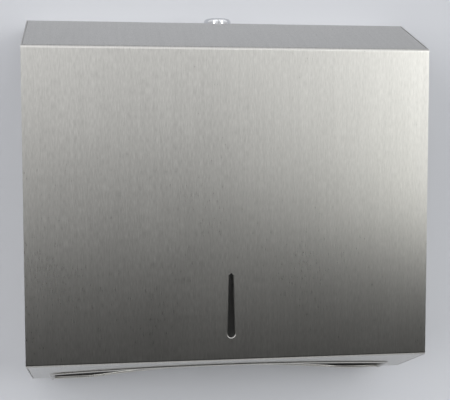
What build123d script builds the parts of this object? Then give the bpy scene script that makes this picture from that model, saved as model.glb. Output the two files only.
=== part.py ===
from build123d import *
from math import atan2, cos, degrees, radians, sin, sqrt
import os

os.makedirs("parts", exist_ok=True)

# Frame in mm: X to the right seen from the front, Y into the wall, Z up.
# The wall plane is y = 0 and the origin is the centre of the four wall screws.

# Case, outside sizes
CASE_W = 275.0
CASE_D = 100.0
FACE_H = 212.0
SLOPE_RUN = 59.2
SLOPE_RISE = 22.7
CASE_H = FACE_H + 2 * SLOPE_RISE
TOP_Z = CASE_H / 2
FRONT_Y = -CASE_D
RIDGE_Y = FRONT_Y + SLOPE_RUN
SHEET = 0.8
BEND_R = 2.5
SLOPE_ANGLE = degrees(atan2(SLOPE_RISE, SLOPE_RUN))
SLOPE_LEN = sqrt(SLOPE_RUN**2 + SLOPE_RISE**2)

# Weld tabs along the sides of the folded top and bottom
TAB_H = 9.0
SEAM_W = 0.45
SEAM_DEPTH = 0.6
INNER_W = CASE_W - 2 * SHEET

# Hinge of the cover, low down at the back
HINGE_Y = -7.5
HINGE_UP = 6.0
HINGE_Z = -TOP_Z + HINGE_UP
PIN_R = 2.5
PIN_RUNNING_GAP = 0.08
SIDE_CORNER_R = 6.7
BOTTOM_REAR_GAP = 5.5
BOTTOM_REAR_Y = -BOTTOM_REAR_GAP
REAR_GAP = 0.8
MOVING_GAP = 0.3
EAR_R = HINGE_UP - SHEET - 2 * MOVING_GAP

# Back plate
PLATE_SHEET = 0.8
SPACER_T = 1.0
FLANGE_X = INNER_W / 2 - SHEET - MOVING_GAP - SPACER_T
FLANGE_D = 22.0
PLATE_TOP_GAP = 0.7
PLATE_TOP_Z = TOP_Z - SHEET - PLATE_TOP_GAP
TOP_FLANGE_INSET = 9.0
TOP_FLANGE_W = 2 * (FLANGE_X - TOP_FLANGE_INSET)
FLANGE_DROP = 3.0
FLANGE_TOP_Z = PLATE_TOP_Z - FLANGE_DROP
FLANGE_CORNER_R = 5.0
PLATE_END_UP = 1.0
PLATE_END_Z = -TOP_Z + PLATE_END_UP
BACKING_T = 0.8
RIVET_HEAD_R = 4.5
RIVET_HEAD_T = 1.2
CLINCH_R = 3.8
CLINCH_T = 1.2
SCREW_X = 100.0
SCREW_Z = 90.0
SCREW_HOLE_R = 2.75

# Towel opening in the folded bottom, with its curled edge
OPEN_HALF = 122.5
LIP_S = 17.5
LIP_R = 370.0
LIP_CORNER_R = 8.0
RIM_ENDS_BACK = 1.5
RIM_ENDS_Y = RIDGE_Y + RIM_ENDS_BACK
RIM_DEPTH = 22.3
RIM_DEEP_Y = RIDGE_Y + RIM_DEPTH
RIM_R = 225.0
RIM_BLEND_R = 40.0
CURL_R = 1.5
CURL_HOLE = 1.2
CURL_OVERLAP = 1.1
CURL_SLIT = 0.5
CURL_RUN_PAST = 1.3

# Sight slot in the front face, heights above the face's lower edge
SLOT_LOW = 15.9
SLOT_HIGH = 59.8
SLOT_LOW_R = 2.6
SLOT_HIGH_R = 1.5
SLOT_EDGE = 0.5

# Cam lock on the flat top
LOCK_BACK = 11.8
LOCK_Y = RIDGE_Y + LOCK_BACK
LOCK_HEAD_R = 10.0
LOCK_HEAD_H = 4.3
LOCK_HEAD_EDGE_R = 2.6
BARREL_R = 9.0
BARREL_FLAT = 8.0
BARREL_LEN = 16.0
BARREL_GAP = 0.15
PLUG_R = 6.2
PLUG_HEAD_R = 7.2
PLUG_HEAD_H = 1.6
CORE_GAP = 0.07
LUG_H = 1.0
LUG_IN_R = 7.2
STOP_T = 1.0
LOCK_TURN = 90.0
STOP_PLAY_DEG = 3.0
TAIL_W = 6.0
TAIL_GAP = 0.05
CAM_T = 2.0
CAM_W = 12.0
CAM_WALL_GAP = 5.0
CAM_REACH = -LOCK_Y - CAM_WALL_GAP
WASHER_T = 0.8
NUT_T = 4.0
NUT_FLATS = 22.0
NUT_CORNER_R = NUT_FLATS / 2 / cos(radians(30))
NUT_ROOM = 1.3
THREAD_GAP = 0.05
TOP_FLANGE_D = -LOCK_Y - NUT_CORNER_R - NUT_ROOM
SPRING_WASHER_T = 1.0
CAM_SCREW_R = 2.0
CAM_SCREW_HEAD_R = 3.8
CAM_SCREW_HEAD_H = 2.6
CAM_SCREW_LEN = 8.0
CAM_SCREW_SLOT = 1.0
CAM_EYE_R = 7.5
SPRING_SPLIT = 0.6
KEYWAY_T = 2.2
KEYWAY_W = 8.0
KEYWAY_DEPTH = 12.0
WASHER_OUT_R = 11.0
WASHER_TEETH = 16
WASHER_TOOTH_GAP = 1.2
STOP_TAB_W = 3.0
STOP_TAB_OUT_R = 8.7

STOP_TAB_DEG = degrees(STOP_TAB_W / LUG_IN_R)
STOP_FREE_DEG = STOP_TAB_DEG + LOCK_TURN + 2 * STOP_PLAY_DEG
STOP_START_DEG = 90.0 - STOP_TAB_DEG / 2 - STOP_PLAY_DEG

# Heights of the lock stack, from the top sheet down
PLUG_SUNK = 0.4
PLUG_TOP_Z = TOP_Z + LOCK_HEAD_H - PLUG_SUNK
TOP_UNDER_Z = TOP_Z - SHEET
NUT_TOP_Z = TOP_UNDER_Z - WASHER_T
BARREL_END_Z = TOP_Z - BARREL_LEN
STOP_TOP_Z = BARREL_END_Z - MOVING_GAP
CAM_TOP_Z = STOP_TOP_Z - STOP_T
CAM_END_Z = CAM_TOP_Z - CAM_T
SPRING_END_Z = CAM_END_Z - SPRING_WASHER_T

# Keeper for the cam, on the side to which the cam turns
KEEPER_SHEET = 1.2
KEEPER_BEND_R = 2.4
KEEPER_IN_X = NUT_CORNER_R + MOVING_GAP
KEEPER_PAST_CAM = 10.0
KEEPER_OUT_X = CAM_REACH + KEEPER_PAST_CAM
KEEPER_NUT_DROP = 2.8
KEEPER_SHELF_Z = NUT_TOP_Z - NUT_T - KEEPER_NUT_DROP
KEEPER_CAM_GAP = 0.8
KEEPER_LIP_Y = LOCK_Y - CAM_W / 2 - KEEPER_CAM_GAP
KEEPER_LIP_PAST = 1.0
KEEPER_LIP_END_Z = SPRING_END_Z - KEEPER_LIP_PAST
KEEPER_FOOT_H = 27.0
KEEPER_FOOT_END_Z = KEEPER_SHELF_Z - KEEPER_FOOT_H


def case_outline():
    """Side view of the case as a face, open towards the wall by running past it."""
    with BuildSketch() as outline:
        with BuildLine():
            Polyline(
                (CASE_D, -TOP_Z),
                (RIDGE_Y, -TOP_Z),
                (FRONT_Y, -FACE_H / 2),
                (FRONT_Y, FACE_H / 2),
                (RIDGE_Y, TOP_Z),
                (CASE_D, TOP_Z),
                close=True,
            )
        make_face()
        fillet([v for v in outline.vertices() if v.X < 0], BEND_R)
    return outline.sketch


def slot_face():
    """The tapered sight slot, wider at its lower end."""
    base = -FACE_H / 2
    with BuildSketch() as slot:
        with Locations((0, base + SLOT_LOW + SLOT_LOW_R)):
            Circle(SLOT_LOW_R)
        with Locations((0, base + SLOT_HIGH - SLOT_HIGH_R)):
            Circle(SLOT_HIGH_R)
        make_hull()
    return slot.sketch


SLOPE_PLANE = Plane(
    origin=(0, FRONT_Y, -FACE_H / 2),
    x_dir=(1, 0, 0),
    z_dir=(0, sin(radians(SLOPE_ANGLE)), cos(radians(SLOPE_ANGLE))),
)
BOTTOM_PLANE = Plane(origin=(0, 0, -TOP_Z), x_dir=(1, 0, 0), z_dir=(0, 0, 1))


def lip_line(grow, end_s):
    """Front edge of the opening on the sloped bottom, in the plane's own coordinates."""
    half = OPEN_HALF + grow
    radius = LIP_R + grow
    front = LIP_S - grow
    corner_s = front + radius - sqrt(radius**2 - half**2)
    with BuildLine(mode=Mode.PRIVATE) as line:
        Line((-half, end_s), (-half, corner_s))
        ThreePointArc((-half, corner_s), (0, front), (half, corner_s))
        Line((half, corner_s), (half, end_s))
        corners = line.vertices().filter_by(lambda v: abs(v.Y - corner_s) < 0.01)
        fillet(corners, LIP_CORNER_R + grow)
    return line.line


def rim_line(grow, half):
    """Rear edge of the opening on the flat bottom, in the plane's own coordinates."""
    ends = RIM_ENDS_Y + grow
    radius = RIM_R + grow
    deep = RIM_DEEP_Y + grow
    corner_x = sqrt(radius**2 - (radius - (deep - ends)) ** 2)
    with BuildLine(mode=Mode.PRIVATE) as line:
        Line((-half, ends), (-corner_x, ends))
        ThreePointArc((-corner_x, ends), (0, deep), (corner_x, ends))
        Line((corner_x, ends), (half, ends))
        corners = line.vertices().filter_by(lambda v: abs(abs(v.X) - corner_x) < 0.01)
        fillet(corners, RIM_BLEND_R - grow)
    return line.line


lip_path = SLOPE_PLANE.offset(SHEET / 2) * lip_line(0, SLOPE_LEN + CURL_RUN_PAST)
rim_path = BOTTOM_PLANE.offset(SHEET / 2) * rim_line(0, OPEN_HALF + CURL_RUN_PAST)


def outline_band(depth):
    """The strip of the case outline that lies within depth of its edge."""
    with BuildSketch() as band:
        add(case_outline())
        offset(case_outline(), amount=-depth, mode=Mode.SUBTRACT)
        with Locations((-REAR_GAP, 0)):
            Rectangle(2 * CASE_D, 2 * CASE_H, align=(Align.MIN, Align.CENTER), mode=Mode.SUBTRACT)
    return band.sketch


def corner_waste(width, front, radius):
    """Plan of what lies outside the two upright front bends."""
    with BuildSketch() as waste:
        with Locations((width / 2 - radius, front + radius), (radius - width / 2, front + radius)):
            Rectangle(4 * radius, 4 * radius)
            Circle(radius, mode=Mode.SUBTRACT)
        with Locations((0, front + radius)):
            Rectangle(width - 2 * radius, 5 * radius, mode=Mode.SUBTRACT)
            Rectangle(2 * width, 5 * radius, align=(Align.CENTER, Align.MIN), mode=Mode.SUBTRACT)
    return waste.sketch


with BuildPart() as hollow:
    with BuildSketch(Plane.YZ):
        offset(case_outline(), amount=-SHEET)
    extrude(amount=INNER_W / 2, both=True)
    with BuildSketch(Plane.XY.offset(-CASE_H)):
        add(corner_waste(INNER_W, FRONT_Y + SHEET, BEND_R - SHEET))
    extrude(amount=2 * CASE_H, mode=Mode.SUBTRACT)

with BuildPart() as cover_shell:
    # folded sheet, open towards the wall
    with BuildSketch(Plane.YZ):
        add(case_outline())
        with Locations((-REAR_GAP, 0)):
            Rectangle(2 * CASE_D, 2 * CASE_H, align=(Align.MIN, Align.CENTER), mode=Mode.SUBTRACT)
    extrude(amount=CASE_W / 2, both=True)
    with BuildSketch(Plane.XY.offset(-CASE_H)):
        add(corner_waste(CASE_W, FRONT_Y, BEND_R))
    extrude(amount=2 * CASE_H, mode=Mode.SUBTRACT)
    add(hollow.part, mode=Mode.SUBTRACT)
    # weld tabs of the folds against the insides of the side panels
    with BuildSketch(Plane.YZ.offset(INNER_W / 2 - SHEET)):
        add(outline_band(TAB_H))
        with Locations((FRONT_Y, 0)):
            Rectangle(2 * TAB_H, FACE_H + TAB_H, mode=Mode.SUBTRACT)
    extrude(amount=1.5 * SHEET)
    mirror(about=Plane.YZ)
    # open seams between the folds and the side panels
    with BuildSketch(Plane.YZ.offset(INNER_W / 2 - SEAM_W)):
        add(outline_band(SEAM_DEPTH))
        with Locations((FRONT_Y, 0)):
            Rectangle(2 * BEND_R, FACE_H + BEND_R, mode=Mode.SUBTRACT)
    extrude(amount=SEAM_W, mode=Mode.SUBTRACT)
    with BuildSketch(Plane.YZ.offset(-INNER_W / 2)):
        add(outline_band(SEAM_DEPTH))
        with Locations((FRONT_Y, 0)):
            Rectangle(2 * BEND_R, FACE_H + BEND_R, mode=Mode.SUBTRACT)
    extrude(amount=SEAM_W, mode=Mode.SUBTRACT)
    # edges next to the wall, rounded about the hinge
    with BuildSketch(Plane.YZ):
        with Locations((HINGE_Y, HINGE_Z)):
            Rectangle(CASE_D, CASE_D, align=(Align.MIN, Align.MAX))
            Circle(SIDE_CORNER_R, mode=Mode.SUBTRACT)
    extrude(amount=CASE_W, both=True, mode=Mode.SUBTRACT)
    with BuildSketch(Plane.XY.offset(-TOP_Z)):
        with Locations((0, BOTTOM_REAR_Y)):
            Rectangle(INNER_W - 2 * SHEET, CASE_D, align=(Align.CENTER, Align.MIN))
    extrude(amount=HINGE_UP, mode=Mode.SUBTRACT)
    # towel opening
    with BuildSketch(SLOPE_PLANE.offset(-CURL_R)):
        with BuildLine():
            lip = lip_line(CURL_OVERLAP, SLOPE_LEN + CURL_R)
            add(lip)
            Line(lip @ 0, lip @ 1)
        make_face()
    extrude(amount=2 * CURL_R, mode=Mode.SUBTRACT)
    with BuildSketch(BOTTOM_PLANE.offset(-CURL_R)):
        with BuildLine():
            rim = rim_line(CURL_OVERLAP, OPEN_HALF + CURL_OVERLAP)
            add(rim)
            Polyline(
                rim @ 0,
                (-OPEN_HALF - CURL_OVERLAP, RIDGE_Y),
                (OPEN_HALF + CURL_OVERLAP, RIDGE_Y),
                rim @ 1,
            )
        make_face()
    extrude(amount=2 * CURL_R, mode=Mode.SUBTRACT)
    # curled edge all round the opening
    for path, up in ((lip_path, SLOPE_PLANE.z_dir), (rim_path, BOTTOM_PLANE.z_dir)):
        with BuildSketch(Plane(origin=path @ 0, x_dir=up, z_dir=path % 0)):
            Circle(CURL_R)
            Rectangle(CURL_HOLE, CURL_HOLE, mode=Mode.SUBTRACT)
            with Locations((CURL_R, 0)):
                Rectangle(2 * CURL_R, CURL_SLIT, mode=Mode.SUBTRACT)
        sweep(path=path)
    # sight slot with a pressed edge
    with BuildSketch(Plane.XZ.offset(CASE_D)):
        add(slot_face())
    extrude(amount=-2 * SHEET, mode=Mode.SUBTRACT)
    front_edges = edges().filter_by(lambda e: abs(e.center().Y - FRONT_Y) < SHEET / 10)
    near_middle = front_edges.filter_by(lambda e: abs(e.center().X) < 2 * SLOT_LOW_R and e.length < SLOT_HIGH)
    slot_edges = near_middle.filter_by(lambda e: e.center().Z > SLOT_LOW - SHEET - FACE_H / 2)
    chamfer(slot_edges, SLOT_EDGE)
    # hole for the lock barrel with its two flats
    with BuildSketch(Plane.XY.offset(TOP_Z)):
        with Locations((0, LOCK_Y)):
            Circle(BARREL_R + BARREL_GAP)
            Rectangle(2 * (BARREL_FLAT + BARREL_GAP), 4 * BARREL_R, mode=Mode.INTERSECT)
    extrude(amount=-2 * SHEET, mode=Mode.SUBTRACT)
    # hinge holes
    with BuildSketch(Plane.YZ):
        with Locations((HINGE_Y, HINGE_Z)):
            Circle(PIN_R + PIN_RUNNING_GAP)
    extrude(amount=CASE_W, both=True, mode=Mode.SUBTRACT)

with BuildPart() as back_plate:
    with BuildSketch(Plane.XY.offset(-TOP_Z)):
        with Locations((0, -2 * FLANGE_D)):
            RectangleRounded(2 * FLANGE_X, 4 * FLANGE_D, BEND_R)
            RectangleRounded(
                2 * (FLANGE_X - PLATE_SHEET),
                4 * FLANGE_D - 2 * PLATE_SHEET,
                BEND_R - PLATE_SHEET,
                mode=Mode.SUBTRACT,
            )
    extrude(amount=CASE_H)
    # side view: the plate against the wall, the flanges and the hinge ears
    with BuildSketch(Plane.YZ.offset(-CASE_W)):
        with BuildLine():
            Polyline(
                (0, FLANGE_TOP_Z),
                (-FLANGE_D, FLANGE_TOP_Z),
                (-FLANGE_D, HINGE_Z - EAR_R),
                (HINGE_Y, HINGE_Z - EAR_R),
            )
            JernArc((HINGE_Y, HINGE_Z - EAR_R), (1, 0), EAR_R, 90)
            Polyline(
                (HINGE_Y + EAR_R, HINGE_Z),
                (HINGE_Y + EAR_R, HINGE_Z + EAR_R),
                (0, HINGE_Z + EAR_R),
                (0, FLANGE_TOP_Z),
            )
        make_face()
        fillet(vertices().group_by(Axis.X)[0], FLANGE_CORNER_R)
        with Locations((0, PLATE_END_Z)):
            Rectangle(PLATE_SHEET, PLATE_TOP_Z - PLATE_END_Z, align=(Align.MAX, Align.MIN))
    extrude(amount=2 * CASE_W, mode=Mode.INTERSECT)
    # stiffening flange along the top
    with BuildSketch(Plane.YZ):
        with Locations((0, PLATE_TOP_Z)):
            Rectangle(TOP_FLANGE_D, TOP_FLANGE_D, align=(Align.MAX, Align.MAX))
        fillet(vertices().group_by(Axis.X)[-1].group_by(Axis.Y)[-1], BEND_R)
        with Locations((-PLATE_SHEET, PLATE_TOP_Z - PLATE_SHEET)):
            Rectangle(TOP_FLANGE_D, TOP_FLANGE_D, align=(Align.MAX, Align.MAX), mode=Mode.SUBTRACT)
    extrude(amount=TOP_FLANGE_W / 2, both=True)
    # wall screw holes
    with BuildSketch(Plane.XZ):
        with GridLocations(2 * SCREW_X, 2 * SCREW_Z, 2, 2):
            Circle(SCREW_HOLE_R)
    extrude(amount=CASE_D, both=True, mode=Mode.SUBTRACT)
    # rivet holes in the ears
    with BuildSketch(Plane.YZ):
        with Locations((HINGE_Y, HINGE_Z)):
            Circle(PIN_R)
    extrude(amount=CASE_W, both=True, mode=Mode.SUBTRACT)

with BuildPart() as keeper:
    with BuildSketch(Plane.YZ.offset(-KEEPER_IN_X)):
        with BuildLine():
            bent = Polyline(
                (-PLATE_SHEET - KEEPER_SHEET / 2, KEEPER_FOOT_END_Z),
                (-PLATE_SHEET - KEEPER_SHEET / 2, KEEPER_SHELF_Z - KEEPER_SHEET / 2),
                (KEEPER_LIP_Y - KEEPER_SHEET / 2, KEEPER_SHELF_Z - KEEPER_SHEET / 2),
                (KEEPER_LIP_Y - KEEPER_SHEET / 2, KEEPER_LIP_END_Z),
            )
            bends = bent.vertices().filter_by(lambda v: v.Y > KEEPER_SHELF_Z - KEEPER_SHEET)
            fillet(bends, KEEPER_BEND_R - KEEPER_SHEET / 2)
        trace(line_width=KEEPER_SHEET)
    extrude(amount=KEEPER_IN_X - KEEPER_OUT_X)

with BuildPart() as hinge_rivet_right:
    # flat head outside, shank through cover and ear, formed head inside
    with BuildSketch(Plane.YZ.offset(CASE_W / 2 + MOVING_GAP)):
        with Locations((HINGE_Y, HINGE_Z)):
            Circle(RIVET_HEAD_R)
    extrude(amount=RIVET_HEAD_T)
    chamfer(edges().group_by(Axis.X)[-1], RIVET_HEAD_T / 2)
    with BuildSketch(Plane.YZ.offset(FLANGE_X - PLATE_SHEET - BACKING_T)):
        with Locations((HINGE_Y, HINGE_Z)):
            Circle(PIN_R)
    extrude(amount=CASE_W / 2 + MOVING_GAP - FLANGE_X + PLATE_SHEET + BACKING_T)
    with BuildSketch(Plane.YZ.offset(FLANGE_X - PLATE_SHEET - BACKING_T)):
        with Locations((HINGE_Y, HINGE_Z)):
            Circle(CLINCH_R)
    extrude(amount=-CLINCH_T)
    chamfer(edges().group_by(Axis.X)[0], CLINCH_T / 2)

with BuildPart() as hinge_spacer_right:
    with BuildSketch(Plane.YZ.offset(FLANGE_X)):
        with Locations((HINGE_Y, HINGE_Z)):
            Circle(EAR_R)
            Circle(PIN_R, mode=Mode.SUBTRACT)
    extrude(amount=SPACER_T)

with BuildPart() as hinge_backing_right:
    with BuildSketch(Plane.YZ.offset(FLANGE_X - PLATE_SHEET)):
        with Locations((HINGE_Y, HINGE_Z)):
            Circle(EAR_R)
            Circle(PIN_R, mode=Mode.SUBTRACT)
    extrude(amount=-BACKING_T)

with BuildPart() as hinge_rivet_left:
    mirror(hinge_rivet_right.part, about=Plane.YZ)

with BuildPart() as hinge_spacer_left:
    mirror(hinge_spacer_right.part, about=Plane.YZ)

with BuildPart() as hinge_backing_left:
    mirror(hinge_backing_right.part, about=Plane.YZ)

with BuildPart() as lock_housing:
    # domed head on the cover, threaded barrel with two flats below
    with BuildSketch(Plane.XY.offset(TOP_Z)):
        with Locations((0, LOCK_Y)):
            Circle(LOCK_HEAD_R)
    extrude(amount=LOCK_HEAD_H)
    fillet(edges().group_by(Axis.Z)[-1], LOCK_HEAD_EDGE_R)
    with BuildSketch(Plane.XY.offset(BARREL_END_Z)):
        with Locations((0, LOCK_Y)):
            Circle(BARREL_R)
            Rectangle(2 * BARREL_FLAT, 4 * BARREL_R, mode=Mode.INTERSECT)
    extrude(amount=BARREL_LEN)
    # stop lug, left open where the washer's tab turns
    far = 4 * BARREL_R
    free = radians(STOP_FREE_DEG)
    with BuildSketch(Plane.XY.offset(BARREL_END_Z)):
        with Locations((0, LOCK_Y)):
            Circle(BARREL_R)
            Rectangle(2 * BARREL_FLAT, 4 * BARREL_R, mode=Mode.INTERSECT)
            Circle(LUG_IN_R, mode=Mode.SUBTRACT)
        with Locations(Location((0, LOCK_Y), STOP_START_DEG)):
            Polygon(
                (0, 0),
                (far, 0),
                (far * cos(free / 2), far * sin(free / 2)),
                (far * cos(free), far * sin(free)),
                align=None,
                mode=Mode.SUBTRACT,
            )
    extrude(amount=-LUG_H)
    # bore for the plug with its counterbore
    with BuildSketch(Plane.XY.offset(BARREL_END_Z)):
        with Locations((0, LOCK_Y)):
            Circle(PLUG_R + CORE_GAP)
    extrude(amount=CASE_H, mode=Mode.SUBTRACT)
    with BuildSketch(Plane.XY.offset(PLUG_TOP_Z - PLUG_HEAD_H - MOVING_GAP)):
        with Locations((0, LOCK_Y)):
            Circle(PLUG_HEAD_R + CORE_GAP)
    extrude(amount=CASE_H, mode=Mode.SUBTRACT)

with BuildPart() as lock_plug:
    with BuildSketch(Plane.XY.offset(PLUG_TOP_Z)):
        with Locations((0, LOCK_Y)):
            Circle(PLUG_HEAD_R)
    extrude(amount=-PLUG_HEAD_H)
    chamfer(edges().group_by(Axis.Z)[-1], 0.3)
    with BuildSketch(Plane.XY.offset(STOP_TOP_Z)):
        with Locations((0, LOCK_Y)):
            Circle(PLUG_R)
    extrude(amount=PLUG_TOP_Z - PLUG_HEAD_H - STOP_TOP_Z)
    with BuildSketch(Plane.XY.offset(STOP_TOP_Z)):
        with Locations((0, LOCK_Y)):
            Rectangle(TAIL_W, TAIL_W)
    extrude(amount=CAM_END_Z - STOP_TOP_Z)
    # keyway and the screw's hole
    with BuildSketch(Plane.XY.offset(PLUG_TOP_Z)):
        with Locations((0, LOCK_Y)):
            Rectangle(KEYWAY_T, KEYWAY_W)
    extrude(amount=-KEYWAY_DEPTH, mode=Mode.SUBTRACT)
    with BuildSketch(Plane.XY.offset(CAM_END_Z)):
        with Locations((0, LOCK_Y)):
            Circle(CAM_SCREW_R)
    extrude(amount=CAM_SCREW_LEN, mode=Mode.SUBTRACT)

with BuildPart() as lock_washer:
    with BuildSketch(Plane.XY.offset(TOP_UNDER_Z)):
        with Locations((0, LOCK_Y)):
            Circle(WASHER_OUT_R)
            Circle(BARREL_R + BARREL_GAP, mode=Mode.SUBTRACT)
            with PolarLocations(WASHER_OUT_R, WASHER_TEETH):
                Rectangle(2 * WASHER_TOOTH_GAP, WASHER_TOOTH_GAP, mode=Mode.SUBTRACT)
    extrude(amount=-WASHER_T)

with BuildPart() as lock_nut:
    with BuildSketch(Plane.XY.offset(NUT_TOP_Z)):
        with Locations((0, LOCK_Y)):
            RegularPolygon(NUT_FLATS / 2, 6, major_radius=False)
            Circle(BARREL_R + THREAD_GAP, mode=Mode.SUBTRACT)
    extrude(amount=-NUT_T)
    chamfer(edges().group_by(Axis.Z)[0].filter_by(GeomType.CIRCLE), 0.4)

with BuildPart() as stop_washer:
    with BuildSketch(Plane.XY.offset(STOP_TOP_Z)):
        with Locations((0, LOCK_Y)):
            Circle(LUG_IN_R - MOVING_GAP)
            Rectangle(STOP_TAB_W, STOP_TAB_OUT_R, align=(Align.CENTER, Align.MIN))
            Rectangle(TAIL_W + 2 * TAIL_GAP, TAIL_W + 2 * TAIL_GAP, mode=Mode.SUBTRACT)
    extrude(amount=-STOP_T)

with BuildPart() as lock_cam:
    # flat tongue pointing at the wall when unlocked
    with BuildSketch(Plane.XY.offset(CAM_TOP_Z)):
        with Locations((0, LOCK_Y)):
            Rectangle(CAM_W, CAM_REACH, align=(Align.CENTER, Align.MIN))
        fillet(vertices().group_by(Axis.Y)[-1], CAM_W / 4)
        with Locations((0, LOCK_Y)):
            Circle(CAM_EYE_R)
            Rectangle(TAIL_W + 2 * TAIL_GAP, TAIL_W + 2 * TAIL_GAP, mode=Mode.SUBTRACT)
    extrude(amount=-CAM_T)

with BuildPart() as spring_washer:
    with BuildSketch(Plane.XY.offset(CAM_END_Z)):
        with Locations((0, LOCK_Y)):
            Circle(CAM_SCREW_HEAD_R)
            Circle(CAM_SCREW_R + TAIL_GAP, mode=Mode.SUBTRACT)
            Rectangle(WASHER_OUT_R, SPRING_SPLIT, align=(Align.MIN, Align.CENTER), mode=Mode.SUBTRACT)
    extrude(amount=-SPRING_WASHER_T)

with BuildPart() as cam_screw:
    with BuildSketch(Plane.XY.offset(SPRING_END_Z)):
        with Locations((0, LOCK_Y)):
            Circle(CAM_SCREW_HEAD_R)
    extrude(amount=-CAM_SCREW_HEAD_H)
    chamfer(edges().group_by(Axis.Z)[0], CAM_SCREW_HEAD_H / 3)
    with BuildSketch(Plane.XY.offset(SPRING_END_Z - CAM_SCREW_HEAD_H)):
        with Locations((0, LOCK_Y)):
            Rectangle(CAM_SCREW_HEAD_R, CAM_SCREW_SLOT)
            Rectangle(CAM_SCREW_SLOT, CAM_SCREW_HEAD_R)
    extrude(amount=CAM_SCREW_HEAD_H / 2, mode=Mode.SUBTRACT)
    with BuildSketch(Plane.XY.offset(SPRING_END_Z)):
        with Locations((0, LOCK_Y)):
            Circle(CAM_SCREW_R)
    extrude(amount=CAM_SCREW_LEN - CAM_SCREW_R)

cover_shell.part.label = "cover_shell"
export_step(cover_shell.part, "parts/cover_shell.step")
back_plate.part.label = "back_plate"
export_step(back_plate.part, "parts/back_plate.step")
keeper.part.label = "keeper"
export_step(keeper.part, "parts/keeper.step")
hinge_rivet_right.part.label = "hinge_rivet_right"
export_step(hinge_rivet_right.part, "parts/hinge_rivet_right.step")
hinge_rivet_left.part.label = "hinge_rivet_left"
export_step(hinge_rivet_left.part, "parts/hinge_rivet_left.step")
hinge_spacer_right.part.label = "hinge_spacer_right"
export_step(hinge_spacer_right.part, "parts/hinge_spacer_right.step")
hinge_spacer_left.part.label = "hinge_spacer_left"
export_step(hinge_spacer_left.part, "parts/hinge_spacer_left.step")
hinge_backing_right.part.label = "hinge_backing_right"
export_step(hinge_backing_right.part, "parts/hinge_backing_right.step")
hinge_backing_left.part.label = "hinge_backing_left"
export_step(hinge_backing_left.part, "parts/hinge_backing_left.step")
lock_housing.part.label = "lock_housing"
export_step(lock_housing.part, "parts/lock_housing.step")
lock_plug.part.label = "lock_plug"
export_step(lock_plug.part, "parts/lock_plug.step")
lock_washer.part.label = "lock_washer"
export_step(lock_washer.part, "parts/lock_washer.step")
lock_nut.part.label = "lock_nut"
export_step(lock_nut.part, "parts/lock_nut.step")
stop_washer.part.label = "stop_washer"
export_step(stop_washer.part, "parts/stop_washer.step")
lock_cam.part.label = "lock_cam"
export_step(lock_cam.part, "parts/lock_cam.step")
spring_washer.part.label = "spring_washer"
export_step(spring_washer.part, "parts/spring_washer.step")
cam_screw.part.label = "cam_screw"
export_step(cam_screw.part, "parts/cam_screw.step")
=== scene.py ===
"""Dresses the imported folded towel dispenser: finishes, studio and camera."""

import math

import bpy
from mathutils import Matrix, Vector


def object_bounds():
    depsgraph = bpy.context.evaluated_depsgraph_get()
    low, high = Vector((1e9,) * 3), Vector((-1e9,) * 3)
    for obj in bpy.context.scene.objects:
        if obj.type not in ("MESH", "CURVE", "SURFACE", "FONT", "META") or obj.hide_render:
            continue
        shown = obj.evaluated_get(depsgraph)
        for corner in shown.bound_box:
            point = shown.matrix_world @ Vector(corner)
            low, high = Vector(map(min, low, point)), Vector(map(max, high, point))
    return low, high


bl_info = {
    "name": "Folded towel dispenser",
    "version": (1, 0, 0),
    "blender": (4, 5, 0),
    "location": "3D View > Sidebar > Dispenser",
    "description": "Finishes and studio for a wall-hung folded towel dispenser",
    "category": "Object",
}

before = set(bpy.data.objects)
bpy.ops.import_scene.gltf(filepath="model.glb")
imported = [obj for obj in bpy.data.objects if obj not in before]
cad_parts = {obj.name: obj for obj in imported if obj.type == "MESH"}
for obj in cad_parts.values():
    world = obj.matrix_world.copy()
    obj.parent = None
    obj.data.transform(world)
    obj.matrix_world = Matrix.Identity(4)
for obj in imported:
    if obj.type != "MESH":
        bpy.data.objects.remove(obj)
CAD_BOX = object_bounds()

# Brushed lines: noise cells per metre across and along the grain
FINE_GRAIN = (1300.0, 190.0)
BROAD_GRAIN = (420.0, 14.0)
ROLLING_MARKS = (260.0, 11.0)
FINE_SHARE = 0.7
GRAIN_CONTRAST = 0.30

# A face whose normal points further than this along X is a side of the case
SIDE_FACING = 0.7

# Keeps the level direction from vanishing where the sheet faces straight up or down
LEVEL_NUDGE = 0.001

# Uneven gloss, added to or taken from the roughness
GRAIN_GLOSS = 0.03
SMUDGE_GLOSS = 0.02

# Depth of the finest marks and of the coarser ones, in metres
FINE_MARK = 0.0001
COARSE_MARK = 0.0002
ROLLER_MARK = 0.0004

# Darkest and lightest colour of each plain finish
MILL_COLOURS = ((0.40, 0.40, 0.395), (0.54, 0.54, 0.53))
ZINC_COLOURS = ((0.47, 0.47, 0.44), (0.63, 0.63, 0.58))
RIVET_COLOURS = ((0.56, 0.56, 0.55), (0.70, 0.70, 0.69))
NYLON_COLOURS = ((0.66, 0.65, 0.60), (0.76, 0.75, 0.71))
CHROME_SHADES = (0.93, 1.04)
PAINT_SHADES = (0.985, 1.015)

# Roller texture of the paint, noise cells per metre
WALL_ROLLER = 420.0
FLOOR_ROLLER = 160.0

# Gap between the back plate and the wall, how far the floor runs under the wall,
# and how far the wall's opening behind the case stays inside the case's edges
WALL_GAP = 0.0006
FLOOR_UNDER_WALL = 0.002
OPENING_INSET_SIDES = 0.006
OPENING_INSET_ENDS = 0.012

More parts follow.
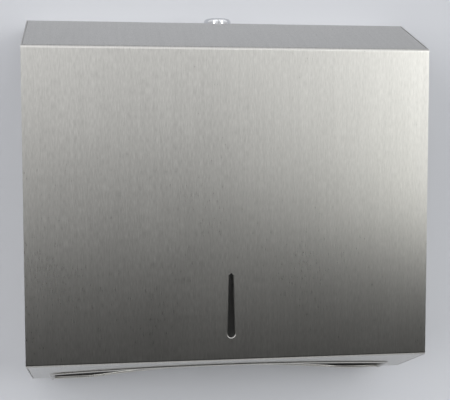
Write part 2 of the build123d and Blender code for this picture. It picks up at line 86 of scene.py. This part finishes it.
# Level of the room's light by height above the horizon and by side, in degrees.
# Straight ahead of the face is side 0, and the right is positive.
LIGHT_BY_HEIGHT = (
    (-90, 0.08), (-38, 0.08), (-14, 0.1), (-3, 0.3), (5, 0.5),
    (14, 0.88), (30, 0.92), (50, 0.9), (90, 0.45),
)
LIGHT_BY_SIDE = (
    (-180, 1.2), (-105, 1.0), (-60, 0.8), (-30, 1.2), (-8, 1.2),
    (6, 0.72), (20, 1.2), (45, 1.0), (105, 1.0), (180, 1.2),
)
ROOM_TINT = (0.985, 0.99, 1.0, 1.0)

# The dim end of the room: a wide part low in front, and a narrow part that reaches the horizon
DIM_WIDE_HEIGHTS = ((-90, 0.0), (-60, 0.5), (-40, 1.0), (-10, 1.0), (-1, 0.0), (90, 0.0))
DIM_WIDE_SIDES = ((-180, 0.0), (-85, 0.0), (-60, 1.0), (60, 1.0), (85, 0.0), (180, 0.0))
DIM_NARROW_HEIGHTS = ((-90, 0.0), (-60, 0.5), (-40, 1.0), (-7, 1.0), (3, 0.0), (90, 0.0))
DIM_NARROW_SIDES = ((-180, 0.0), (-16, 0.0), (1, 1.0), (8, 1.0), (24, 0.0), (180, 0.0))

# Strip lamps in front, aimed at the case
LAMP_TARGET = (0.0, -0.1, 0.0)

# Camera place in metres and its angles in degrees, as solved from the case's corners
CAMERA_PLACE = (-0.09021, -0.71318, 0.04668)
CAMERA_TILT = 86.0509
CAMERA_ROLL = 0.0755
CAMERA_TURN = -7.9825
CAMERA_FILM = 36.0
CAMERA_NEAREST = 0.01


def find_node(name):
    """The CAD node of that name, or an error that stops the script."""
    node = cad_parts.get(name)
    if node is None:
        raise RuntimeError("the frame has no node " + name)
    return node


class NodeBench:
    """A node tree under construction, with short calls for what finishes and light share."""

    def __init__(self, tree):
        self.tree = tree
        self.tree.nodes.clear()

    def add(self, kind, **settings):
        node = self.tree.nodes.new(kind)
        for key, value in settings.items():
            setattr(node, key, value)
        return node

    def link(self, source, target):
        self.tree.links.new(source, target)

    def feed(self, socket, value):
        """Links the socket when the value is another socket, and sets it otherwise."""
        if isinstance(value, bpy.types.NodeSocket):
            self.link(value, socket)
        else:
            socket.default_value = value

    def calculate(self, operation, *values):
        node = self.add("ShaderNodeMath", operation=operation)
        for socket, value in zip(node.inputs, values):
            self.feed(socket, value)
        return node.outputs["Value"]

    def split(self, vector):
        """The X, Y and Z parts of a vector."""
        node = self.add("ShaderNodeSeparateXYZ")
        self.link(vector, node.inputs["Vector"])
        return node.outputs["X"], node.outputs["Y"], node.outputs["Z"]


class Finish(NodeBench):
    """A material under construction."""

    def __init__(self, name):
        self.material = bpy.data.materials.new(name)
        self.material.use_nodes = True
        super().__init__(self.material.node_tree)
        self.output = self.add("ShaderNodeOutputMaterial")

    def place(self):
        """Object coordinates in metres."""
        return self.add("ShaderNodeTexCoord").outputs["Object"]

    def facing(self):
        """The surface's normal in object coordinates."""
        return self.add("ShaderNodeTexCoord").outputs["Normal"]

    def remap(self, value, low, high):
        """Spreads a value of 0 to 1 between low and high."""
        node = self.add("ShaderNodeMapRange")
        self.link(value, node.inputs["Value"])
        node.inputs["To Min"].default_value = low
        node.inputs["To Max"].default_value = high
        return node.outputs["Result"]

    def blend(self, factor, first, second):
        """A colour between two colours."""
        node = self.add("ShaderNodeMix", data_type="RGBA")
        self.link(factor, node.inputs["Factor"])
        node.inputs["A"].default_value = (*first, 1.0)
        node.inputs["B"].default_value = (*second, 1.0)
        return node.outputs["Result"]

    def noise(self, vector, scale, detail, rough):
        node = self.add("ShaderNodeTexNoise")
        node.inputs["Scale"].default_value = scale
        node.inputs["Detail"].default_value = detail
        node.inputs["Roughness"].default_value = rough
        self.link(vector, node.inputs["Vector"])
        return node.outputs["Fac"]

    def grain(self, cells, detail, rough):
        """Noise drawn out into upright lines, on the face, the slopes and the sides."""
        across, along = cells
        x, y, z = self.split(self.place())
        sideways = self.calculate("ABSOLUTE", self.split(self.facing())[0])
        pick = self.add("ShaderNodeMix", data_type="FLOAT")
        self.link(self.calculate("GREATER_THAN", sideways, SIDE_FACING), pick.inputs["Factor"])
        self.link(x, pick.inputs["A"])
        self.link(y, pick.inputs["B"])
        joined = self.add("ShaderNodeCombineXYZ")
        self.link(self.calculate("MULTIPLY", pick.outputs["Result"], across), joined.inputs["X"])
        length = self.calculate("ADD", z, y)
        self.link(self.calculate("MULTIPLY", length, along), joined.inputs["Y"])
        return self.noise(joined.outputs["Vector"], scale=1.0, detail=detail, rough=rough)

    def across_the_grain(self):
        """Level direction in the surface, square to the upright grain."""
        cross = self.add("ShaderNodeVectorMath", operation="CROSS_PRODUCT")
        cross.inputs[0].default_value = (0.0, 0.0, 1.0)
        self.link(self.facing(), cross.inputs[1])
        nudge = self.add("ShaderNodeVectorMath", operation="ADD")
        nudge.inputs[1].default_value = (LEVEL_NUDGE, 0.0, 0.0)
        self.link(cross.outputs["Vector"], nudge.inputs[0])
        level = self.add("ShaderNodeVectorMath", operation="NORMALIZE")
        self.link(nudge.outputs["Vector"], level.inputs[0])
        return level.outputs["Vector"]

    def bump(self, height, strength, distance):
        node = self.add("ShaderNodeBump")
        node.inputs["Strength"].default_value = strength
        node.inputs["Distance"].default_value = distance
        self.link(height, node.inputs["Height"])
        return node.outputs["Normal"]

    def surface(self, **values):
        """The shader, with an underscore for each space in the names of its inputs."""
        shader = self.add("ShaderNodeBsdfPrincipled")
        for key, value in values.items():
            self.feed(shader.inputs[key.replace("_", " ")], value)
        self.link(shader.outputs["BSDF"], self.output.inputs["Surface"])


def brushed_steel(settings):
    """Stainless sheet with a fine upright grain, soft smudges and slightly uneven gloss."""
    finish = Finish("brushed_steel")
    fine = finish.grain(FINE_GRAIN, detail=2.0, rough=0.6)
    broad = finish.grain(BROAD_GRAIN, detail=3.0, rough=0.55)
    smudge = finish.noise(finish.place(), scale=14.0, detail=4.0, rough=0.5)
    lines = finish.calculate(
        "ADD",
        finish.calculate("MULTIPLY", fine, FINE_SHARE),
        finish.calculate("MULTIPLY", broad, 1.0 - FINE_SHARE),
    )
    base = Vector(settings.steel_colour)
    middle = settings.steel_roughness
    gloss = finish.calculate(
        "ADD",
        finish.remap(fine, middle - GRAIN_GLOSS, middle + GRAIN_GLOSS),
        finish.remap(smudge, -SMUDGE_GLOSS, SMUDGE_GLOSS),
    )
    finish.surface(
        Base_Color=finish.blend(
            finish.remap(lines, low=0.0, high=1.0),
            tuple(base * (1.0 - GRAIN_CONTRAST)),
            tuple(base * (1.0 + GRAIN_CONTRAST)),
        ),
        Metallic=1.0,
        Roughness=gloss,
        Anisotropic=settings.steel_anisotropy,
        Tangent=finish.across_the_grain(),
        Normal=finish.bump(fine, strength=settings.grain_depth, distance=FINE_MARK),
    )
    return finish.material


def mill_steel():
    """Plain sheet of the back plate and keeper, with faint rolling marks."""
    finish = Finish("plain_steel")
    roll = finish.grain(ROLLING_MARKS, detail=4.0, rough=0.6)
    cloud = finish.noise(finish.place(), scale=22.0, detail=4.0, rough=0.55)
    gloss = finish.calculate(
        "ADD",
        finish.remap(roll, low=0.33, high=0.43),
        finish.remap(cloud, low=-0.05, high=0.05),
    )
    finish.surface(
        Base_Color=finish.blend(roll, *MILL_COLOURS),
        Metallic=1.0,
        Roughness=gloss,
        Normal=finish.bump(roll, strength=0.05, distance=COARSE_MARK),
    )
    return finish.material


def polished_chrome(settings):
    """Chrome plate of the lock, with tiny wear marks."""
    finish = Finish("lock_chrome")
    scuffs = finish.noise(finish.place(), scale=900.0, detail=6.0, rough=0.7)
    cloud = finish.noise(finish.place(), scale=120.0, detail=3.0, rough=0.5)
    base = Vector(settings.chrome_colour)
    dark, light = (tuple(base * shade) for shade in CHROME_SHADES)
    gloss = finish.calculate(
        "ADD",
        finish.remap(scuffs, low=0.05, high=0.14),
        finish.remap(cloud, low=0.0, high=0.05),
    )
    finish.surface(
        Base_Color=finish.blend(cloud, dark, light),
        Metallic=1.0,
        Roughness=gloss,
        Normal=finish.bump(scuffs, strength=0.03, distance=FINE_MARK),
    )
    return finish.material


def zinc_plate():
    """Zinc plated small parts, slightly yellow and mottled."""
    finish = Finish("plated_steel")
    spangle = finish.add("ShaderNodeTexVoronoi")
    spangle.inputs["Scale"].default_value = 700.0
    finish.link(finish.place(), spangle.inputs["Vector"])
    cloud = finish.noise(finish.place(), scale=240.0, detail=5.0, rough=0.6)
    gloss = finish.calculate(
        "ADD",
        finish.remap(spangle.outputs["Distance"], low=0.27, high=0.39),
        finish.remap(cloud, low=-0.04, high=0.04),
    )
    finish.surface(
        Base_Color=finish.blend(cloud, *ZINC_COLOURS),
        Metallic=1.0,
        Roughness=gloss,
        Normal=finish.bump(cloud, strength=0.04, distance=COARSE_MARK),
    )
    return finish.material


def rivet_steel():
    """Bright drawn rivets with turning marks."""
    finish = Finish("rivet_steel")
    rings = finish.noise(finish.place(), scale=650.0, detail=5.0, rough=0.65)
    finish.surface(
        Base_Color=finish.blend(rings, *RIVET_COLOURS),
        Metallic=1.0,
        Roughness=finish.remap(rings, low=0.22, high=0.34),
        Normal=finish.bump(rings, strength=0.04, distance=COARSE_MARK),
    )
    return finish.material


def moulded_nylon():
    """Natural nylon of the hinge spacers."""
    finish = Finish("nylon")
    haze = finish.noise(finish.place(), scale=300.0, detail=4.0, rough=0.6)
    finish.surface(
        Base_Color=finish.blend(haze, *NYLON_COLOURS),
        Roughness=finish.remap(haze, low=0.42, high=0.56),
        Subsurface_Weight=0.08,
        Normal=finish.bump(haze, strength=0.05, distance=COARSE_MARK),
    )
    return finish.material


def matt_paint(name, colour, roller_scale):
    """Matt paint with a faint roller texture, for wall and floor."""
    finish = Finish(name)
    roller = finish.noise(finish.place(), roller_scale, detail=5.0, rough=0.6)
    cloud = finish.noise(finish.place(), scale=2.2, detail=3.0, rough=0.5)
    dark, light = (tuple(Vector(colour) * shade) for shade in PAINT_SHADES)
    finish.surface(
        Base_Color=finish.blend(cloud, dark, light),
        Roughness=finish.remap(roller, low=0.72, high=0.86),
        Normal=finish.bump(roller, strength=0.06, distance=ROLLER_MARK),
    )
    return finish.material


def clear_from_behind(material):
    """Lets the painted sheet be looked through from its hidden side."""
    tree = material.node_tree
    output = next(node for node in tree.nodes if node.type == "OUTPUT_MATERIAL")
    paint = output.inputs["Surface"].links[0].from_socket
    geometry = tree.nodes.new("ShaderNodeNewGeometry")
    clear = tree.nodes.new("ShaderNodeBsdfTransparent")
    pick = tree.nodes.new("ShaderNodeMixShader")
    tree.links.new(geometry.outputs["Backfacing"], pick.inputs["Fac"])
    tree.links.new(paint, pick.inputs[1])
    tree.links.new(clear.outputs["BSDF"], pick.inputs[2])
    tree.links.new(pick.outputs["Shader"], output.inputs["Surface"])


def coat(material, *names):
    """Gives these CAD nodes the finish in every material slot."""
    for name in names:
        node = find_node(name)
        if not node.material_slots:
            node.data.materials.append(material)
        for slot in node.material_slots:
            slot.material = material


class SteelSettings(bpy.types.PropertyGroup):
    """Finish of the folded cover and the lock."""

    steel_colour: bpy.props.FloatVectorProperty(
        name="Steel colour", description="Colour of the brushed sheet", subtype="COLOR",
        size=3, min=0.0, max=1.0, default=(0.50, 0.493, 0.475),
    )
    steel_roughness: bpy.props.FloatProperty(
        name="Roughness", description="Mean roughness of the brushed sheet",
        min=0.0, max=1.0, default=0.29,
    )
    steel_anisotropy: bpy.props.FloatProperty(
        name="Anisotropy", description="Spread of gloss across the grain",
        min=0.0, max=1.0, default=0.75,
    )
    grain_depth: bpy.props.FloatProperty(
        name="Grain depth", description="Strength of the brushed lines",
        min=0.0, max=1.0, default=0.05,
    )
    chrome_colour: bpy.props.FloatVectorProperty(
        name="Chrome colour", description="Colour of the plated lock", subtype="COLOR",
        size=3, min=0.0, max=1.0, default=(0.66, 0.67, 0.69),
    )


class StudioSettings(bpy.types.PropertyGroup):
    """Wall, floor, room light and camera."""

    wall_colour: bpy.props.FloatVectorProperty(
        name="Wall colour", description="Paint of the wall", subtype="COLOR",
        size=3, min=0.0, max=1.0, default=(0.61, 0.622, 0.66),
    )
    floor_colour: bpy.props.FloatVectorProperty(
        name="Floor colour", description="Paint of the floor", subtype="COLOR",
        size=3, min=0.0, max=1.0, default=(0.62, 0.62, 0.61),
    )
    floor_drop: bpy.props.FloatProperty(
        name="Floor drop", description="Height of the wall screws above the floor",
        unit="LENGTH", min=0.2, default=1.3,
    )
    room_width: bpy.props.FloatProperty(
        name="Room width", description="Width of the wall and floor",
        unit="LENGTH", min=1.0, default=4.0,
    )
    floor_depth: bpy.props.FloatProperty(
        name="Floor depth", description="How far the floor comes out from the wall",
        unit="LENGTH", min=0.3, default=1.1,
    )
    room_light: bpy.props.FloatProperty(
        name="Room light", description="Level of the light from all round", min=0.0, default=1.38,
    )
    dim_depth: bpy.props.FloatProperty(
        name="Dim end", description="How much the low end of the room in front is dimmed",
        min=0.0, max=1.0, default=0.78,
    )
    lens: bpy.props.FloatProperty(
        name="Focal length", description="Focal length for a 36 mm wide frame",
        subtype="DISTANCE_CAMERA", min=10.0, default=73.78,
    )


def use_only(obj):
    """Selects this object alone."""
    bpy.ops.object.select_all(action="DESELECT")
    obj.select_set(True)
    bpy.context.view_layer.objects.active = obj


def add_sheet(name, size, location, rotation, widen=1.0):
    """A flat sheet with its place in its mesh."""
    bpy.ops.object.select_all(action="DESELECT")
    bpy.ops.mesh.primitive_plane_add(size=size, location=location, rotation=rotation)
    sheet = bpy.context.object
    sheet.name = name
    sheet.data.name = name
    use_only(sheet)
    sheet.scale.x = widen
    bpy.ops.object.transform_apply(location=True, rotation=True, scale=True)
    return sheet


def open_behind_case(wall):
    """Cuts the wall away where the case covers it, a little inside the case's edges."""
    low, high = CAD_BOX
    sideways = (1.0, 0.0, 0.0)
    upwards = (0.0, 0.0, 1.0)
    cuts = (
        ((low.x + OPENING_INSET_SIDES, 0.0, 0.0), sideways),
        ((high.x - OPENING_INSET_SIDES, 0.0, 0.0), sideways),
        ((0.0, 0.0, low.z + OPENING_INSET_ENDS), upwards),
        ((0.0, 0.0, high.z - OPENING_INSET_ENDS), upwards),
    )
    use_only(wall)
    bpy.ops.object.mode_set(mode="EDIT")
    for point, normal in cuts:
        bpy.ops.mesh.select_all(action="SELECT")
        bpy.ops.mesh.bisect(plane_co=point, plane_no=normal)
    bpy.ops.mesh.select_all(action="DESELECT")
    bpy.ops.object.mode_set(mode="OBJECT")
    for face in wall.data.polygons:
        face.select = low.x < face.center.x < high.x and low.z < face.center.z < high.z
    bpy.ops.object.mode_set(mode="EDIT")
    bpy.ops.mesh.delete(type="FACE")
    bpy.ops.object.mode_set(mode="OBJECT")


def add_lamp(name, place, width, height, watts, colour):
    """A soft upright lamp that looks at the case and isn't seen itself."""
    data = bpy.data.lights.new(name, "AREA")
    data.shape = "RECTANGLE"
    data.size = width
    data.size_y = height
    data.energy = watts
    data.color = colour
    lamp = bpy.data.objects.new(name, data)
    lamp.location = place
    lamp.visible_camera = False
    lamp.rotation_euler = (Vector(LAMP_TARGET) - Vector(place)).to_track_quat("-Z", "Y").to_euler()
    bpy.context.scene.collection.objects.link(lamp)


def level_by_angle(bench, angle, points):
    """Level by angle in degrees, with soft steps between the points."""
    first = points[0][0]
    span = points[-1][0] - first
    ramp = bench.add("ShaderNodeValToRGB")
    ramp.color_ramp.interpolation = "EASE"
    scaled = bench.calculate("DIVIDE", bench.calculate("SUBTRACT", angle, first), span)
    bench.link(scaled, ramp.inputs["Fac"])
    elements = ramp.color_ramp.elements
    elements[0].position = 0.0
    elements[1].position = 1.0
    for stop, _level in points[1:-1]:
        elements.new((stop - first) / span)
    for element, (_stop, level) in zip(elements, points):
        element.color = (level, level, level, 1.0)
    return ramp.outputs["Color"]


def light_room(studio):
    """Soft light by direction: pale all round, with the dim end of the room low in front."""
    world = bpy.data.worlds.new("studio")
    bpy.context.scene.world = world
    world.use_nodes = True
    bench = NodeBench(world.node_tree)

    x, y, z = bench.split(bench.add("ShaderNodeTexCoord").outputs["Generated"])
    ahead = bench.calculate("MULTIPLY", y, -1.0)
    to_degrees = math.degrees(1.0)
    height = bench.calculate("MULTIPLY", bench.calculate("ARCSINE", z), to_degrees)
    side = bench.calculate("MULTIPLY", bench.calculate("ARCTAN2", x, ahead), to_degrees)

    level = bench.calculate(
        "MULTIPLY",
        level_by_angle(bench, height, LIGHT_BY_HEIGHT),
        level_by_angle(bench, side, LIGHT_BY_SIDE),
    )
    for heights, sides in (
        (DIM_WIDE_HEIGHTS, DIM_WIDE_SIDES),
        (DIM_NARROW_HEIGHTS, DIM_NARROW_SIDES),
    ):
        spot = bench.calculate(
            "MULTIPLY",
            level_by_angle(bench, height, heights),
            level_by_angle(bench, side, sides),
        )
        taken = bench.calculate("MULTIPLY", spot, studio.dim_depth)
        level = bench.calculate("MULTIPLY", level, bench.calculate("SUBTRACT", 1.0, taken))

    background = bench.add("ShaderNodeBackground")
    bench.link(bench.calculate("MULTIPLY", level, studio.room_light), background.inputs["Strength"])
    background.inputs["Color"].default_value = ROOM_TINT
    output = bench.add("ShaderNodeOutputWorld")
    bench.link(background.outputs["Background"], output.inputs["Surface"])


def place_camera(studio):
    """The camera a little to the left of the case and above its middle."""
    data = bpy.data.cameras.new("camera")
    data.sensor_width = CAMERA_FILM
    data.lens = studio.lens
    data.clip_start = CAMERA_NEAREST
    camera = bpy.data.objects.new("camera", data)
    camera.location = CAMERA_PLACE
    camera.rotation_euler = [math.radians(a) for a in (CAMERA_TILT, CAMERA_ROLL, CAMERA_TURN)]
    bpy.context.scene.collection.objects.link(camera)
    bpy.context.scene.camera = camera


class DISPENSER_OT_cover(bpy.types.Operator):
    """Finish the folded steel cover"""

    bl_idname = "dispenser.cover"
    bl_label = "Cover"

    def execute(self, context):
        coat(brushed_steel(context.scene.dispenser_steel), "cover_shell")
        return {"FINISHED"}


class DISPENSER_OT_lock(bpy.types.Operator):
    """Finish the cam lock and the plated backing rings of the hinge"""

    bl_idname = "dispenser.lock"
    bl_label = "Cam lock"

    def execute(self, context):
        coat(polished_chrome(context.scene.dispenser_steel), "lock_housing", "lock_plug")
        coat(
            zinc_plate(),
            "lock_washer", "lock_nut", "stop_washer", "lock_cam", "spring_washer", "cam_screw",
            "hinge_backing_right", "hinge_backing_left",
        )
        return {"FINISHED"}


class DISPENSER_OT_back(bpy.types.Operator):
    """Finish the back plate, the keeper, the rivets and the spacers"""

    bl_idname = "dispenser.back"
    bl_label = "Back and hinges"

    def execute(self, context):
        coat(mill_steel(), "back_plate", "keeper")
        coat(rivet_steel(), "hinge_rivet_right", "hinge_rivet_left")
        coat(moulded_nylon(), "hinge_spacer_right", "hinge_spacer_left")
        return {"FINISHED"}


class DISPENSER_OT_stage(bpy.types.Operator):
    """Build the wall, the floor, the lamps and the camera"""

    bl_idname = "dispenser.stage"
    bl_label = "Stage"

    def execute(self, context):
        studio = context.scene.dispenser_studio
        width = studio.room_width
        drop = studio.floor_drop
        depth = studio.floor_depth

        upright = (math.radians(90.0), 0.0, 0.0)
        wall = add_sheet("wall", width, (0.0, WALL_GAP, width / 2 - drop), upright)
        open_behind_case(wall)
        wall_paint = matt_paint("wall_paint", studio.wall_colour, WALL_ROLLER)
        clear_from_behind(wall_paint)
        wall.data.materials.append(wall_paint)

        middle = (0.0, FLOOR_UNDER_WALL - depth / 2, -drop)
        floor = add_sheet("floor", depth, middle, (0.0, 0.0, 0.0), widen=width / depth)
        floor.data.materials.append(matt_paint("floor_paint", studio.floor_colour, FLOOR_ROLLER))

        light_room(studio)
        add_lamp(
            "right_strip", place=(1.6, -2.35, 0.45), width=0.5, height=1.6,
            watts=17.0, colour=(0.99, 1.0, 0.96),
        )
        add_lamp(
            "left_strip", place=(-1.45, -2.2, 0.35), width=0.4, height=1.7,
            watts=14.0, colour=(1.0, 0.995, 0.98),
        )
        place_camera(studio)
        context.scene.view_settings.view_transform = "Standard"
        return {"FINISHED"}


STEPS = (DISPENSER_OT_cover, DISPENSER_OT_lock, DISPENSER_OT_back, DISPENSER_OT_stage)


class DISPENSER_PT_panel(bpy.types.Panel):
    """Sizes, finishes and steps of the towel dispenser"""

    bl_idname = "DISPENSER_PT_panel"
    bl_label = "Folded towel dispenser"
    bl_space_type = "VIEW_3D"
    bl_region_type = "UI"
    bl_category = "Dispenser"

    def draw(self, context):
        layout = self.layout
        for settings in (context.scene.dispenser_steel, context.scene.dispenser_studio):
            for key in settings.__annotations__:
                layout.prop(settings, key)
        for step in STEPS:
            layout.operator(step.bl_idname)


CLASSES = (SteelSettings, StudioSettings, *STEPS, DISPENSER_PT_panel)


def register():
    for cls in CLASSES:
        bpy.utils.register_class(cls)
    bpy.types.Scene.dispenser_steel = bpy.props.PointerProperty(type=SteelSettings)
    bpy.types.Scene.dispenser_studio = bpy.props.PointerProperty(type=StudioSettings)


def unregister():
    del bpy.types.Scene.dispenser_studio
    del bpy.types.Scene.dispenser_steel
    for cls in reversed(CLASSES):
        bpy.utils.unregister_class(cls)


def main():
    register()
    bpy.ops.dispenser.cover()
    bpy.ops.dispenser.lock()
    bpy.ops.dispenser.back()
    bpy.ops.dispenser.stage()


if __name__ == "__main__":
    main()
